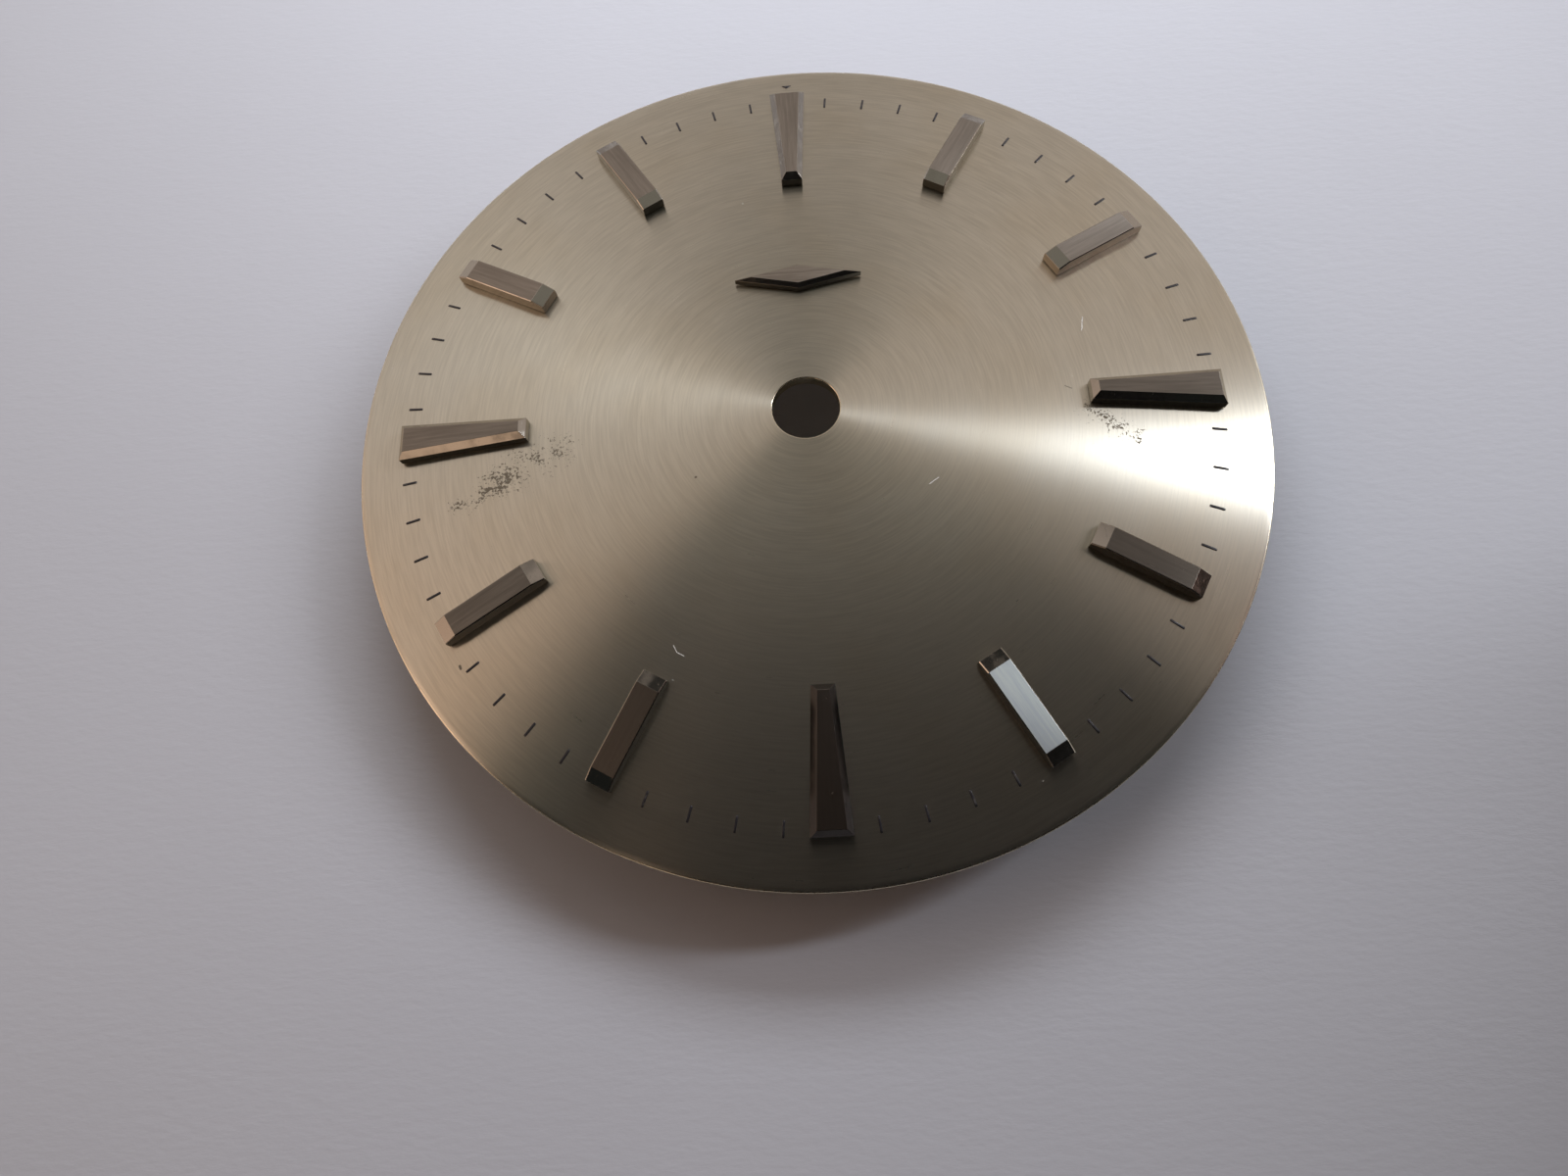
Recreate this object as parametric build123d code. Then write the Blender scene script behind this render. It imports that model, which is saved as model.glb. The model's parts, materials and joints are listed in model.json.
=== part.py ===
from build123d import *
import os
from math import asin, atan2, cos, degrees, hypot, radians, sin, sqrt

# A wrist watch dial: a domed brass plate that carries riveted hour markers, printed minutes,
# one small applied ornament and two brazed feet. Millimetres and degrees.
# +Z is the way the face looks, +Y points at 12 o'clock and +X at 3 o'clock.
# The origin lies on the axis of the centre hole, halfway up its wall.

# Plate: one shallow dome, rolled down in a narrow band along the rim.
dial_diameter = 29.5
plate_thickness = 0.4
crown_radius = 110.0
edge_band_width = 0.2
edge_band_radius = 0.6
rim_bevel = 0.05
seat_width = 0.5
centre_hole_diameter = 2.15
hole_bevel = 0.04

# Clearances between pieces that fit, and the overrun of a cut past the wall that it goes through.
fit_gap = 0.01
print_gap = 0.003
cut_overrun = 0.2

# Hour markers: straight bars with sloped ends, and wedges with bevelled edges at 12, 3, 6 and 9.
marker_height = 0.45
marker_rim_gap = 1.48
bar_length = 3.58
bar_width = 0.8
bar_slope_length = 0.42
bar_slope_drop = 0.14
bar_edge_break = 0.03
wedge_length = 4.3
wedge_outer_width = 1.26
wedge_inner_width = 0.72
wedge_bevel = 0.16

# Pins under the applied pieces: each goes through the plate and is spread into a rivet head.
pin_diameter = 0.36
pin_end_gap = 0.75
rivet_diameter = 0.58
rivet_height = 0.09
rivet_bevel = 0.05

# Applied ornament between the marker at 12 and the centre hole: a flat-topped lozenge.
lozenge_length = 4.2
lozenge_width = 0.96
lozenge_height = 0.32
lozenge_bevel = 0.12
lozenge_marker_gap = 4.1
lozenge_pin_spacing = 1.7

# Printed minute track: a thin stroke at each minute that has no marker, and a pip above 12.
track_rim_gap = 1.48
stroke_length = 0.44
stroke_width = 0.1
ink_thickness = 0.02
pip_width = 0.36
pip_length = 0.14
pip_rim_gap = 0.72

# Feet: turned copper pins that hold the dial on the movement, in shallow spot faces under the plate.
foot_diameter = 0.8
foot_length = 2.2
foot_tip_bevel = 0.1
foot_root_diameter = 1.0
foot_root_length = 0.38
foot_rim_gap = 2.3
foot_flange_diameter = 1.5
foot_flange_thickness = 0.1
braze_reach = 0.24
braze_height = 0.34
braze_cover = 0.07
foot_a_angle = 15
foot_b_angle = 201

# Counts and clock angles.
hours = 12
minutes = 60
wedge_hours = (3, 6, 9, 12)
turn = 360

dial_radius = dial_diameter / 2
hole_radius = centre_hole_diameter / 2
band_start = dial_radius - edge_band_width


def crown_centre():
    """Height of the centre of the dome's sphere, so that the hole's wall is centred on the origin."""
    return plate_thickness / 2 - sqrt(crown_radius**2 - hole_radius**2)


def band_centre():
    """Radius and height of the centre of the edge band's arc, which is tangent to the dome."""
    tilt = asin(band_start / crown_radius)
    back = crown_radius - edge_band_radius
    return back * sin(tilt), crown_centre() + back * cos(tilt)


def skin_height(radius, depth=0):
    """Height of the face at a radius, or of the surface that lies depth below the face."""
    if radius <= skin_knee(depth):
        return crown_centre() + sqrt((crown_radius - depth)**2 - radius**2)
    out, up = band_centre()
    return up + sqrt((edge_band_radius - depth)**2 - (radius - out)**2)


def skin_knee(depth=0):
    """Radius where the dome passes into the edge band, at a depth below the face."""
    return band_start * (crown_radius - depth) / crown_radius


def face_tilt(radius):
    """Slope of the face at a radius, in radians from level."""
    if radius <= band_start:
        return asin(radius / crown_radius)
    return asin((radius - band_centre()[0]) / edge_band_radius)


def face_frame(clock_angle, radius, lift=0):
    """A plane on the face: X runs outward down the slope and Z stands square to the face."""
    angle = radians(clock_angle)
    tilt = face_tilt(radius)
    outward = Vector(sin(angle), cos(angle), 0)
    normal = outward * sin(tilt) + Vector(0, 0, cos(tilt))
    slope = outward * cos(tilt) - Vector(0, 0, sin(tilt))
    point = outward * radius + Vector(0, 0, skin_height(radius)) + normal * lift
    return Plane(origin=point, x_dir=slope, z_dir=normal)


def skin_curve(start, end, depth=0):
    """The face's outline between two radii in the X-Z plane: an arc of the dome, then of the band."""
    knee = skin_knee(depth)
    crossing = min(start, end) < knee < max(start, end)
    stations = [start, knee, end] if crossing else [start, end]
    arcs = []
    for near, far in zip(stations, stations[1:]):
        middle = (near + far) / 2
        arcs.append(ThreePointArc(*[(r, skin_height(r, depth)) for r in (near, middle, far)]))
    return arcs


def seat_height():
    """Height of the flat land under the rim, where the plate rests on the movement."""
    return skin_height(dial_radius - seat_width, plate_thickness)


def plate_blank():
    """The domed disc with its bored centre and bevelled edges, before the pin holes."""
    top_in = hole_radius + hole_bevel
    top_out = dial_radius - rim_bevel
    land_in = dial_radius - seat_width
    with BuildSketch(Plane.XZ) as section:
        with BuildLine():
            skin_curve(top_in, top_out)
            Polyline(
                (top_out, skin_height(top_out)),
                (dial_radius, skin_height(top_out) - rim_bevel),
                (dial_radius, seat_height()),
                (land_in, seat_height()),
            )
            skin_curve(land_in, top_in, plate_thickness)
            Polyline(
                (top_in, skin_height(top_in, plate_thickness)),
                (hole_radius, skin_height(top_in, plate_thickness) + hole_bevel),
                (hole_radius, skin_height(top_in) - hole_bevel),
                (top_in, skin_height(top_in)),
            )
        make_face()
    return revolve(section.sketch, Axis.Z)


def through_hole(frame):
    """The cut for one pin, square to the face and through the plate."""
    depth = plate_thickness + 2 * cut_overrun
    cut = Cylinder(pin_diameter / 2 + fit_gap, depth, align=(Align.CENTER, Align.CENTER, Align.MAX))
    return frame * Pos(0, 0, cut_overrun) * cut


def spot_face(clock_angle):
    """The shallow pocket under the plate that a foot's flange sits in."""
    radius = foot_flange_diameter / 2 + fit_gap
    tall = pocket_roof() - seat_height()
    cut = Cylinder(radius, tall, align=(Align.CENTER, Align.CENTER, Align.MAX))
    return foot_place(clock_angle) * Pos(0, 0, pocket_roof()) * cut


def foot_place(clock_angle):
    """Where a foot's axis stands, on the level of the origin."""
    radius = dial_radius - foot_rim_gap
    angle = radians(clock_angle)
    return Pos(radius * sin(angle), radius * cos(angle), 0)


def foot_floor():
    """Height of the plate's underside at a foot's axis."""
    return skin_height(dial_radius - foot_rim_gap, plate_thickness)


def pocket_roof():
    """Height of the spot face's flat bottom."""
    return foot_floor() + foot_flange_thickness + fit_gap


def rivet_pin(clock_angle, radius, across=0):
    """A pin square to the face, from inside its marker to the rivet head under the plate."""
    frame = pin_frame(clock_angle, radius, across)
    rise = marker_height / 2
    under = plate_thickness + fit_gap
    pin = Pos(0, 0, rise) * Cylinder(
        pin_diameter / 2, rise + under + rivet_height / 2, align=(Align.CENTER, Align.CENTER, Align.MAX)
    )
    head = Cylinder(rivet_diameter / 2, rivet_height, align=(Align.CENTER, Align.CENTER, Align.MAX))
    head = chamfer(head.edges().group_by(Axis.Z)[0], rivet_bevel)
    return frame * (pin + Pos(0, 0, -under) * head)


def pin_frame(clock_angle, radius, across=0):
    """The face's plane at a pin that may stand a little to one side of its clock angle."""
    return face_frame(clock_angle + degrees(atan2(across, radius)), hypot(radius, across))


def bar_solid():
    """A straight marker: a flat top, a polished slope at each end and square sides."""
    half = bar_length / 2
    shoulder = marker_height - bar_slope_drop
    side = Plane.XZ * Polyline(
        (-half, 0),
        (-half, shoulder),
        (-half + bar_slope_length, marker_height),
        (half - bar_slope_length, marker_height),
        (half, shoulder),
        (half, 0),
        close=True,
    )
    bar = extrude(make_face(side), amount=bar_width / 2, both=True)
    return chamfer(bar.faces().sort_by(Axis.Z)[-1].edges().filter_by(Axis.X), bar_edge_break)


def wedge_solid():
    """A marker that widens towards the rim, with a bevel all round its flat top."""
    half = wedge_length / 2
    inner = wedge_inner_width / 2
    outer = wedge_outer_width / 2
    outline = Polyline((-half, -inner), (half, -outer), (half, outer), (-half, inner), close=True)
    wedge = extrude(make_face(outline), amount=marker_height)
    return chamfer(wedge.faces().sort_by(Axis.Z)[-1].edges(), wedge_bevel)


def lozenge_solid():
    """The applied ornament: a lozenge that lies across the dial, bevelled round its flat top."""
    long_half = lozenge_length / 2
    short_half = lozenge_width / 2
    outline = Polyline((0, -long_half), (short_half, 0), (0, long_half), (-short_half, 0), close=True)
    body = extrude(make_face(outline), amount=lozenge_height)
    return chamfer(body.faces().sort_by(Axis.Z)[-1].edges(), lozenge_bevel)


def marker_size(hour):
    """Length of the marker at an hour."""
    return wedge_length if hour in wedge_hours else bar_length


def marker_radius(hour):
    """Distance of the marker's middle from the dial's axis."""
    return dial_radius - marker_rim_gap - marker_size(hour) / 2


def marker_pin_places(hour):
    """Clock angle and radius of the two pins of the marker at an hour."""
    reach = marker_size(hour) / 2 - pin_end_gap
    return [(hour * turn / hours, marker_radius(hour) + step) for step in (-reach, reach)]


def hour_marker(hour):
    """One applied marker with its two riveted pins."""
    body = wedge_solid() if hour in wedge_hours else bar_solid()
    marker = face_frame(hour * turn / hours, marker_radius(hour), fit_gap) * body
    for angle, radius in marker_pin_places(hour):
        marker += rivet_pin(angle, radius)
    return marker


def lozenge_radius():
    """Distance of the ornament's middle from the dial's axis."""
    return marker_radius(hours) - wedge_length / 2 - lozenge_marker_gap


def lozenge_pin_places():
    """Clock angle, radius and offset across of the ornament's two pins."""
    return [(0, lozenge_radius(), step) for step in (-lozenge_pin_spacing / 2, lozenge_pin_spacing / 2)]


def ornament():
    """The applied lozenge with its two riveted pins."""
    piece = face_frame(0, lozenge_radius(), fit_gap) * lozenge_solid()
    for place in lozenge_pin_places():
        piece += rivet_pin(*place)
    return piece


def dial_plate():
    """The plate with a hole for each pin and a spot face for each foot."""
    frames = [face_frame(*place) for hour in range(1, hours + 1) for place in marker_pin_places(hour)]
    frames += [pin_frame(*place) for place in lozenge_pin_places()]
    cuts = [through_hole(frame) for frame in frames]
    cuts += [spot_face(angle) for angle in (foot_a_angle, foot_b_angle)]
    return plate_blank() - cuts


def minute_track():
    """Thin strokes of ink at the minutes between the markers, and the pip above 12."""
    ink_align = (Align.CENTER, Align.CENTER, Align.MIN)
    stroke = Box(stroke_length, stroke_width, ink_thickness, align=ink_align)
    radius = dial_radius - track_rim_gap - stroke_length / 2
    per_hour = minutes // hours
    spots = [minute for minute in range(minutes) if minute % per_hour]
    marks = [face_frame(minute * turn / minutes, radius, print_gap) * stroke for minute in spots]
    half = pip_width / 2
    corners = Polyline((0, -half), (0, half), (-pip_length, 0), close=True)
    pip = extrude(make_face(corners), amount=ink_thickness)
    marks.append(face_frame(0, dial_radius - pip_rim_gap, print_gap) * pip)
    return Compound(children=marks)


def dial_foot(clock_angle):
    """A copper pin with a thin flange that sits in its spot face, a tapered root and a bevelled tip."""
    rod = foot_diameter / 2
    root = foot_root_diameter / 2
    flange = foot_flange_diameter / 2
    top = pocket_roof() - fit_gap
    low = foot_floor()
    tip = low - foot_length
    outline = Plane.XZ * Polyline(
        (0, top),
        (flange, top),
        (flange, low),
        (root, low),
        (rod, low - foot_root_length),
        (rod, tip + foot_tip_bevel),
        (rod - foot_tip_bevel, tip),
        (0, tip),
        close=True,
    )
    return foot_place(clock_angle) * revolve(make_face(outline), Axis.Z)


def braze_ring(clock_angle):
    """The hollow-faced fillet of silver braze round a foot's root, seated on the plate and the flange."""
    root = foot_root_diameter / 2 + fit_gap
    taper = (foot_root_diameter - foot_diameter) / 2 / foot_root_length
    inner = root - taper * braze_height
    flange = foot_flange_diameter / 2 + fit_gap
    outer = foot_flange_diameter / 2 + braze_reach
    high = skin_height(dial_radius - foot_rim_gap - outer, plate_thickness)
    low = foot_floor() - braze_height
    with BuildSketch(Plane.XZ) as section:
        with BuildLine():
            Polyline((outer, high), (root, high), (root, foot_floor()), (inner, low))
            ThreePointArc((inner, low), (flange, foot_floor() - braze_cover), (outer, high))
        make_face()
    seat = Cylinder(flange, high - low, align=(Align.CENTER, Align.CENTER, Align.MIN))
    ring = revolve(section.sketch, Axis.Z) - Pos(0, 0, foot_floor() - fit_gap) * seat
    return foot_place(clock_angle) * ring - above_underside()


def above_underside():
    """The space over the plate's underside, less the fit gap, that shapes what is brazed to it."""
    depth = plate_thickness + fit_gap
    near, far = hole_radius, dial_radius - seat_width
    with BuildSketch(Plane.XZ) as section:
        with BuildLine():
            skin_curve(near, far, depth)
            Polyline((far, skin_height(far, depth)), (far, 0), (near, 0), (near, skin_height(near, depth)))
        make_face()
    return revolve(section.sketch, Axis.Z)


nodes = {f"hour_marker_{hour:02d}": hour_marker(hour) for hour in range(1, hours + 1)}
nodes["dial_plate"] = dial_plate()
nodes["applied_lozenge"] = ornament()
nodes["minute_track"] = minute_track()
nodes["dial_foot_a"] = dial_foot(foot_a_angle)
nodes["dial_foot_b"] = dial_foot(foot_b_angle)
nodes["braze_ring_a"] = braze_ring(foot_a_angle)
nodes["braze_ring_b"] = braze_ring(foot_b_angle)

os.makedirs("parts", exist_ok=True)
for name, shape in nodes.items():
    export_step(shape, f"parts/{name}.step")

wall_length = skin_height(hole_radius + hole_bevel) - skin_height(hole_radius + hole_bevel, plate_thickness)
print("hole wall", wall_length - 2 * hole_bevel, "seat height", seat_height())
print("foot radius", dial_radius - foot_rim_gap, "underside there", foot_floor())
print("face at rim", skin_height(dial_radius - rim_bevel), "at strokes", skin_height(dial_radius - track_rim_gap))
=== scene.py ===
"""A wrist watch dial lying face up on pale paper, dressed around its packed construction.

The dial is a shallow dome of plated brass that was brushed in circles. It carries twelve applied
hour markers, one applied lozenge, printed minute strokes, and two copper feet brazed underneath.
Lengths are millimetres until a mesh, a lamp or the camera is written, which puts them in metres.
+Z is the way the face looks, +Y points at 12 o'clock and +X at 3 o'clock.
"""

import json
import logging
from dataclasses import dataclass
from enum import Enum, IntEnum
from math import atan2, cos, hypot, pi, radians, sin
from typing import Any, Callable, ClassVar

import bpy
import numpy as np
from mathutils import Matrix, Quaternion, Vector


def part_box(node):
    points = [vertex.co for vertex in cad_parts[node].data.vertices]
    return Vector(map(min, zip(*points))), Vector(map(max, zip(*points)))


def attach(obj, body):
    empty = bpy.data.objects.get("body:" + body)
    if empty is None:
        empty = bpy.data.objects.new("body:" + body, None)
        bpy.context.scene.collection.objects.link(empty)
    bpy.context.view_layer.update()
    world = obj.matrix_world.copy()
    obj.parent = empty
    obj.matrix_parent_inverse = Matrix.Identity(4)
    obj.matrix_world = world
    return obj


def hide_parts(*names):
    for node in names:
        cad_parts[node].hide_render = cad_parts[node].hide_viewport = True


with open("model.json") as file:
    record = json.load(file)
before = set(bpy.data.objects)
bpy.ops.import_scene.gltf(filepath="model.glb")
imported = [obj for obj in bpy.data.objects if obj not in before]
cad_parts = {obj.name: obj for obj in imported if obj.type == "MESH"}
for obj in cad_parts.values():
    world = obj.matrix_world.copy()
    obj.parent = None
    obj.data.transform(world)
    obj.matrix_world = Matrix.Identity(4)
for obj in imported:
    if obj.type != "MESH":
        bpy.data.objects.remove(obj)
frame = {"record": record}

MILLIMETRE = 0.001
BODY = "root"
LOCAL = "local"
HOURS = 12
MINUTES = 60
TANGENT_REACH = 15
# The hour whose marker's polished faces are painted near black: a painted dark reflection.
PAINTED_DARK_HOUR = 6
SHARP_ANGLE = 12

CIRCLE = 2 * pi

Materials = tuple[bpy.types.Material, ...]
Colour = tuple[float, float, float]
Direction = tuple[float, float, float]
Point = tuple[float, float]

log = logging.getLogger("watch_dial")


class Socket:
    """A node's output, on which expressions add Math nodes, or Vector Math nodes for a vector."""

    def __init__(self, graph: "Graph", output: bpy.types.NodeSocket) -> None:
        """Wraps an output of a node in a graph."""
        self.graph = graph
        self.output = output

    def is_vector(self) -> bool:
        """Whether the output carries three numbers."""
        return self.output.type in {"VECTOR", "RGBA"}

    def combine(self, operation: str, left: "Value", right: "Value") -> "Socket":
        """Adds the node of one operator.

        Args:
            operation: The operation's name, which Math and Vector Math share.
            left: The first operand.
            right: The second operand.

        Returns:
            The result's socket.
        """
        operands = (left, right)
        if not any(isinstance(value, Socket) and value.is_vector() for value in operands):
            return self.graph.node("Math", {"operation": operation}, dict(enumerate(operands)))
        spread = [(value,) * 3 if isinstance(value, (int, float)) else value for value in operands]
        return self.graph.node("VectorMath", {"operation": operation}, dict(enumerate(spread)))

    def __add__(self, other: "Value") -> "Socket":
        """self + other."""
        return self.combine("ADD", self, other)

    def __radd__(self, other: "Value") -> "Socket":
        """other + self."""
        return self.combine("ADD", other, self)

    def __sub__(self, other: "Value") -> "Socket":
        """self - other."""
        return self.combine("SUBTRACT", self, other)

    def __rsub__(self, other: "Value") -> "Socket":
        """other - self."""
        return self.combine("SUBTRACT", other, self)

    def __mul__(self, other: "Value") -> "Socket":
        """self * other."""
        return self.combine("MULTIPLY", self, other)

    def __rmul__(self, other: "Value") -> "Socket":
        """other * self."""
        return self.combine("MULTIPLY", other, self)

    def __truediv__(self, other: "Value") -> "Socket":
        """self / other."""
        return self.combine("DIVIDE", self, other)

    def __rtruediv__(self, other: "Value") -> "Socket":
        """other / self."""
        return self.combine("DIVIDE", other, self)

    def largest(self, other: "Value") -> "Socket":
        """The larger of self and other."""
        return self.combine("MAXIMUM", self, other)

    def smallest(self, other: "Value") -> "Socket":
        """The smaller of self and other."""
        return self.combine("MINIMUM", self, other)

    def part(self, axis: str) -> "Socket":
        """The X, Y or Z part of a vector."""
        return self.graph.node("SeparateXYZ", inputs={0: self}, output=axis)

    def dot(self, other: "Value") -> "Socket":
        """The dot product of two vectors."""
        settings = {"operation": "DOT_PRODUCT"}
        return self.graph.node("VectorMath", settings, {0: self, 1: other}, "Value")

    def length(self) -> "Socket":
        """The length of a vector."""
        return self.graph.node("VectorMath", {"operation": "LENGTH"}, {0: self}, "Value")

    def rise(self, low: float, high: float) -> "Socket":
        """A smooth step.

        Args:
            low: Where the step is 0.
            high: Where the step is 1, which may be below low.

        Returns:
            The step's socket.
        """
        steps = {"interpolation_type": "SMOOTHSTEP"}
        if low < high:
            return self.graph.node("MapRange", steps, {0: self, 1: low, 2: high})
        return 1 - self.graph.node("MapRange", steps, {0: self, 1: high, 2: low})


Value = float | tuple[float, ...] | Socket
Inputs = dict[int | str, Value]


class Graph:
    """The node tree of a material or of the world."""

    def __init__(self, tree: bpy.types.NodeTree) -> None:
        """Empties a node tree and wraps it."""
        tree.nodes.clear()
        self.tree = tree

    def node(
        self,
        kind: str,
        settings: dict[str, Any] | None = None,
        inputs: Inputs | None = None,
        output: int | str = 0,
    ) -> Socket:
        """Adds one node.

        Args:
            kind: The node's type, less its prefix.
            settings: Its properties, such as a Math node's operation, which are set first.
            inputs: Values or links of its sockets, by index or name.
            output: Which output is returned.

        Returns:
            The chosen output's socket.
        """
        made = self.tree.nodes.new("ShaderNode" + kind)
        for name, value in (settings or {}).items():
            setattr(made, name, value)
        for key, value in (inputs or {}).items():
            socket = made.inputs[key]
            if isinstance(value, Socket):
                self.tree.links.new(value.output, socket)
            elif socket.type == "RGBA":
                socket.default_value = (*value[:3], 1)
            else:
                socket.default_value = value
        return Socket(self, made.outputs[output]) if len(made.outputs) else Socket(self, None)

    def millimetres(self) -> Socket:
        """Object coordinates in millimetres."""
        return self.node("TexCoord", output="Object") * (1 / MILLIMETRE)

    def local(self) -> Socket:
        """The place on a piece in its own directions, in millimetres, which its mesh holds."""
        return self.node("Attribute", {"attribute_name": LOCAL}, output="Vector")

    def vector(self, x: Value, y: Value, z: Value) -> Socket:
        """A vector of three parts."""
        return self.node("CombineXYZ", inputs={0: x, 1: y, 2: z})

    def noise(
        self, place: Value, scale: float = 1, detail: float = 2, roughness: float = 0.5
    ) -> Socket:
        """Smooth noise about 0.5 at a place."""
        inputs = {"Vector": place, "Scale": scale, "Detail": detail, "Roughness": roughness}
        return self.node("TexNoise", inputs=inputs)

    def mix(self, share: Value, low: Value, high: Value) -> Socket:
        """A colour between two, low at share 0 and high at share 1."""
        return self.node("Mix", {"data_type": "RGBA"}, {0: share, 6: low, 7: high}, 2)

    def bump(self, height: Socket, depth: float) -> Socket:
        """A normal from a height of 0 to 1 that is depth millimetres tall."""
        inputs = {"Strength": 1, "Distance": depth * MILLIMETRE, "Height": height}
        return self.node("Bump", inputs=inputs)


@dataclass(frozen=True)
class Surface:
    """A material, whose look a subclass gives as the inputs of a Principled shader."""

    name: str

    def inputs(self, graph: Graph) -> Inputs:
        """The shader's inputs."""
        raise NotImplementedError

    def material(self) -> bpy.types.Material:
        """Builds the material.

        Returns:
            The material.
        """
        material = bpy.data.materials.new(self.name)
        material.use_nodes = True
        graph = Graph(material.node_tree)
        shader = graph.node("BsdfPrincipled", inputs=self.inputs(graph))
        graph.node("OutputMaterial", inputs={"Surface": shader})
        return material


@dataclass(frozen=True)
class Streak:
    """A straight mark between two places on the face, with its full width, in millimetres."""

    start: Point
    end: Point
    width: float

    def near(self, place: Socket) -> Socket:
        """How far a place is inside the mark, from 0 outside to 1 on its middle line.

        The distance to the line is the length of what is left of the way from its start once the
        part along the line, held between its two ends, is taken off.

        Args:
            place: The place in millimetres.

        Returns:
            The share's socket.
        """
        run = (self.end[0] - self.start[0], self.end[1] - self.start[1], 0)
        square = run[0] ** 2 + run[1] ** 2
        across = place * (1, 1, 0) - (*self.start, 0)
        share = (across.dot(run) / square).largest(0).smallest(1)
        gap = (across - place.graph.vector(share * run[0], share * run[1], 0)).length()
        return gap.rise(self.width / 2, 0)


@dataclass(frozen=True)
class CircularBrushed(Surface):
    """Plated brass that was brushed in circles about the dial's axis."""

    colour: Colour = (0.68, 0.65, 0.545)
    warm_colour: Colour = (0.65, 0.595, 0.465)
    bare_colour: Colour = (0.66, 0.62, 0.50)
    patina_per_mm: float = 0.23
    patina_range: Point = (0.42, 0.68)
    patina_warmth: float = 0.45
    band_warmth: float = 0.25
    least_warmth: float = 0.1
    line_shade: float = 0.87
    line_share: float = 0.88
    shade_range: Point = (0.30, 0.70)
    roughness: float = 0.30
    anisotropy: float = 0.89
    across_turn: float = 0.25
    lines_per_mm: float = 17
    bands_per_mm: float = 2.3
    line_wander: float = 0.8
    band_wander: float = 0.09
    line_roughness: float = 0.10
    band_roughness: float = 0.04
    mark_roughness: float = 0.3
    groove_depth: float = 0.0012
    speck_relief: float = 0.8
    bare_range: Point = (14.67, 14.78)
    bare_ragged: float = 0.12
    ragged_per_mm: float = 1.7
    grain_per_mm: float = 11
    clump_per_mm: float = 2.3
    plain_lift: float = 0.02
    clump_lift: float = 0.42
    stain_lift: float = -0.005
    speck_range: Point = (0.74, 0.82)
    dust_per_mm: float = 1.15
    dust_size: float = 0.05
    dust_floor: float = 0.012
    dust_edge: float = 0.02
    dust_amount: float = 0.5
    speck_dullness: float = 0.6
    speck_colour: Colour = (0.17, 0.14, 0.095)
    dust_colour: Colour = (0.75, 0.74, 0.70)
    stains: tuple[Streak, ...] = ()
    scratches: tuple[Streak, ...] = ()
    dark_marks: tuple[Streak, ...] = ()

    def inputs(self, graph: Graph) -> Inputs:
        """Circular lines in roughness and relief, patina, a bare rim, specks and dust.

        Args:
            graph: The material's graph.

        Returns:
            The shader's inputs.
        """
        place = graph.millimetres()
        lines = self.brush(place, self.lines_per_mm, self.line_wander)
        bands = self.brush(place, self.bands_per_mm, self.band_wander)
        specks = self.specks(place)
        dust = self.dust(place)
        colour = graph.mix(specks, self.plating(place, lines, bands), self.speck_colour)
        brushing = (lines - 0.5) * self.line_roughness + (bands - 0.5) * self.band_roughness
        relief = (lines + bands) / 2 - specks * self.speck_relief
        return {
            "Base Color": graph.mix(dust, colour, self.dust_colour),
            "Metallic": 1 - (specks * self.speck_dullness).largest(dust),
            "Roughness": self.roughness + brushing + (specks + dust) * self.mark_roughness,
            "Anisotropic": self.anisotropy,
            "Anisotropic Rotation": self.across_turn,
            "Normal": graph.bump(relief, self.groove_depth),
        }

    def brush(self, place: Socket, per_mm: float, wander: float) -> Socket:
        """Circular lines: noise that changes fast with the radius and slowly with the place.

        Args:
            place: The place in millimetres.
            per_mm: How fast the noise changes with the radius.
            wander: How fast it changes with the place.

        Returns:
            The noise's socket.
        """
        flat = place * (1, 1, 0)
        slow = flat * wander
        across = place.graph.vector(flat.length() * per_mm, slow.part("X"), slow.part("Y"))
        return place.graph.noise(across, detail=3, roughness=0.6)

    def plating(self, place: Socket, lines: Socket, bands: Socket) -> Socket:
        """The plating's colour, with its patina, the shade of its lines, and the bare rim.

        Args:
            place: The place in millimetres.
            lines: The fine lines.
            bands: The broad lines.

        Returns:
            The colour's socket.
        """
        graph = place.graph
        patina = graph.noise(place, self.patina_per_mm, detail=3).rise(*self.patina_range)
        warmth = patina * self.patina_warmth + bands * self.band_warmth - self.least_warmth
        colour = graph.mix(warmth, self.colour, self.warm_colour)
        shade = (lines * self.line_share + bands * (1 - self.line_share)).rise(*self.shade_range)
        colour = colour * (1 - shade * (1 - self.line_shade))
        uneven = graph.noise(place, self.ragged_per_mm, detail=3) - 0.5
        ragged = (place * (1, 1, 0)).length() + uneven * self.bare_ragged
        return graph.mix(ragged.rise(*self.bare_range), colour, self.bare_colour)

    def specks(self, place: Socket) -> Socket:
        """Dark specks where fine noise passes a threshold, which falls inside each stain.

        Args:
            place: The place in millimetres.

        Returns:
            A socket that is 1 on a speck.
        """
        graph = place.graph
        clump = graph.noise(place, self.clump_per_mm)
        lift = clump * self.plain_lift
        for stain in self.stains:
            lift = lift + stain.near(place) * (clump * self.clump_lift + self.stain_lift)
        grain = graph.noise(place, self.grain_per_mm, detail=3, roughness=0.7)
        spots = (grain + lift).rise(*self.speck_range)
        for mark in self.dark_marks:
            spots = spots.largest(mark.near(place).rise(0, 0.5))
        return spots

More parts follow.
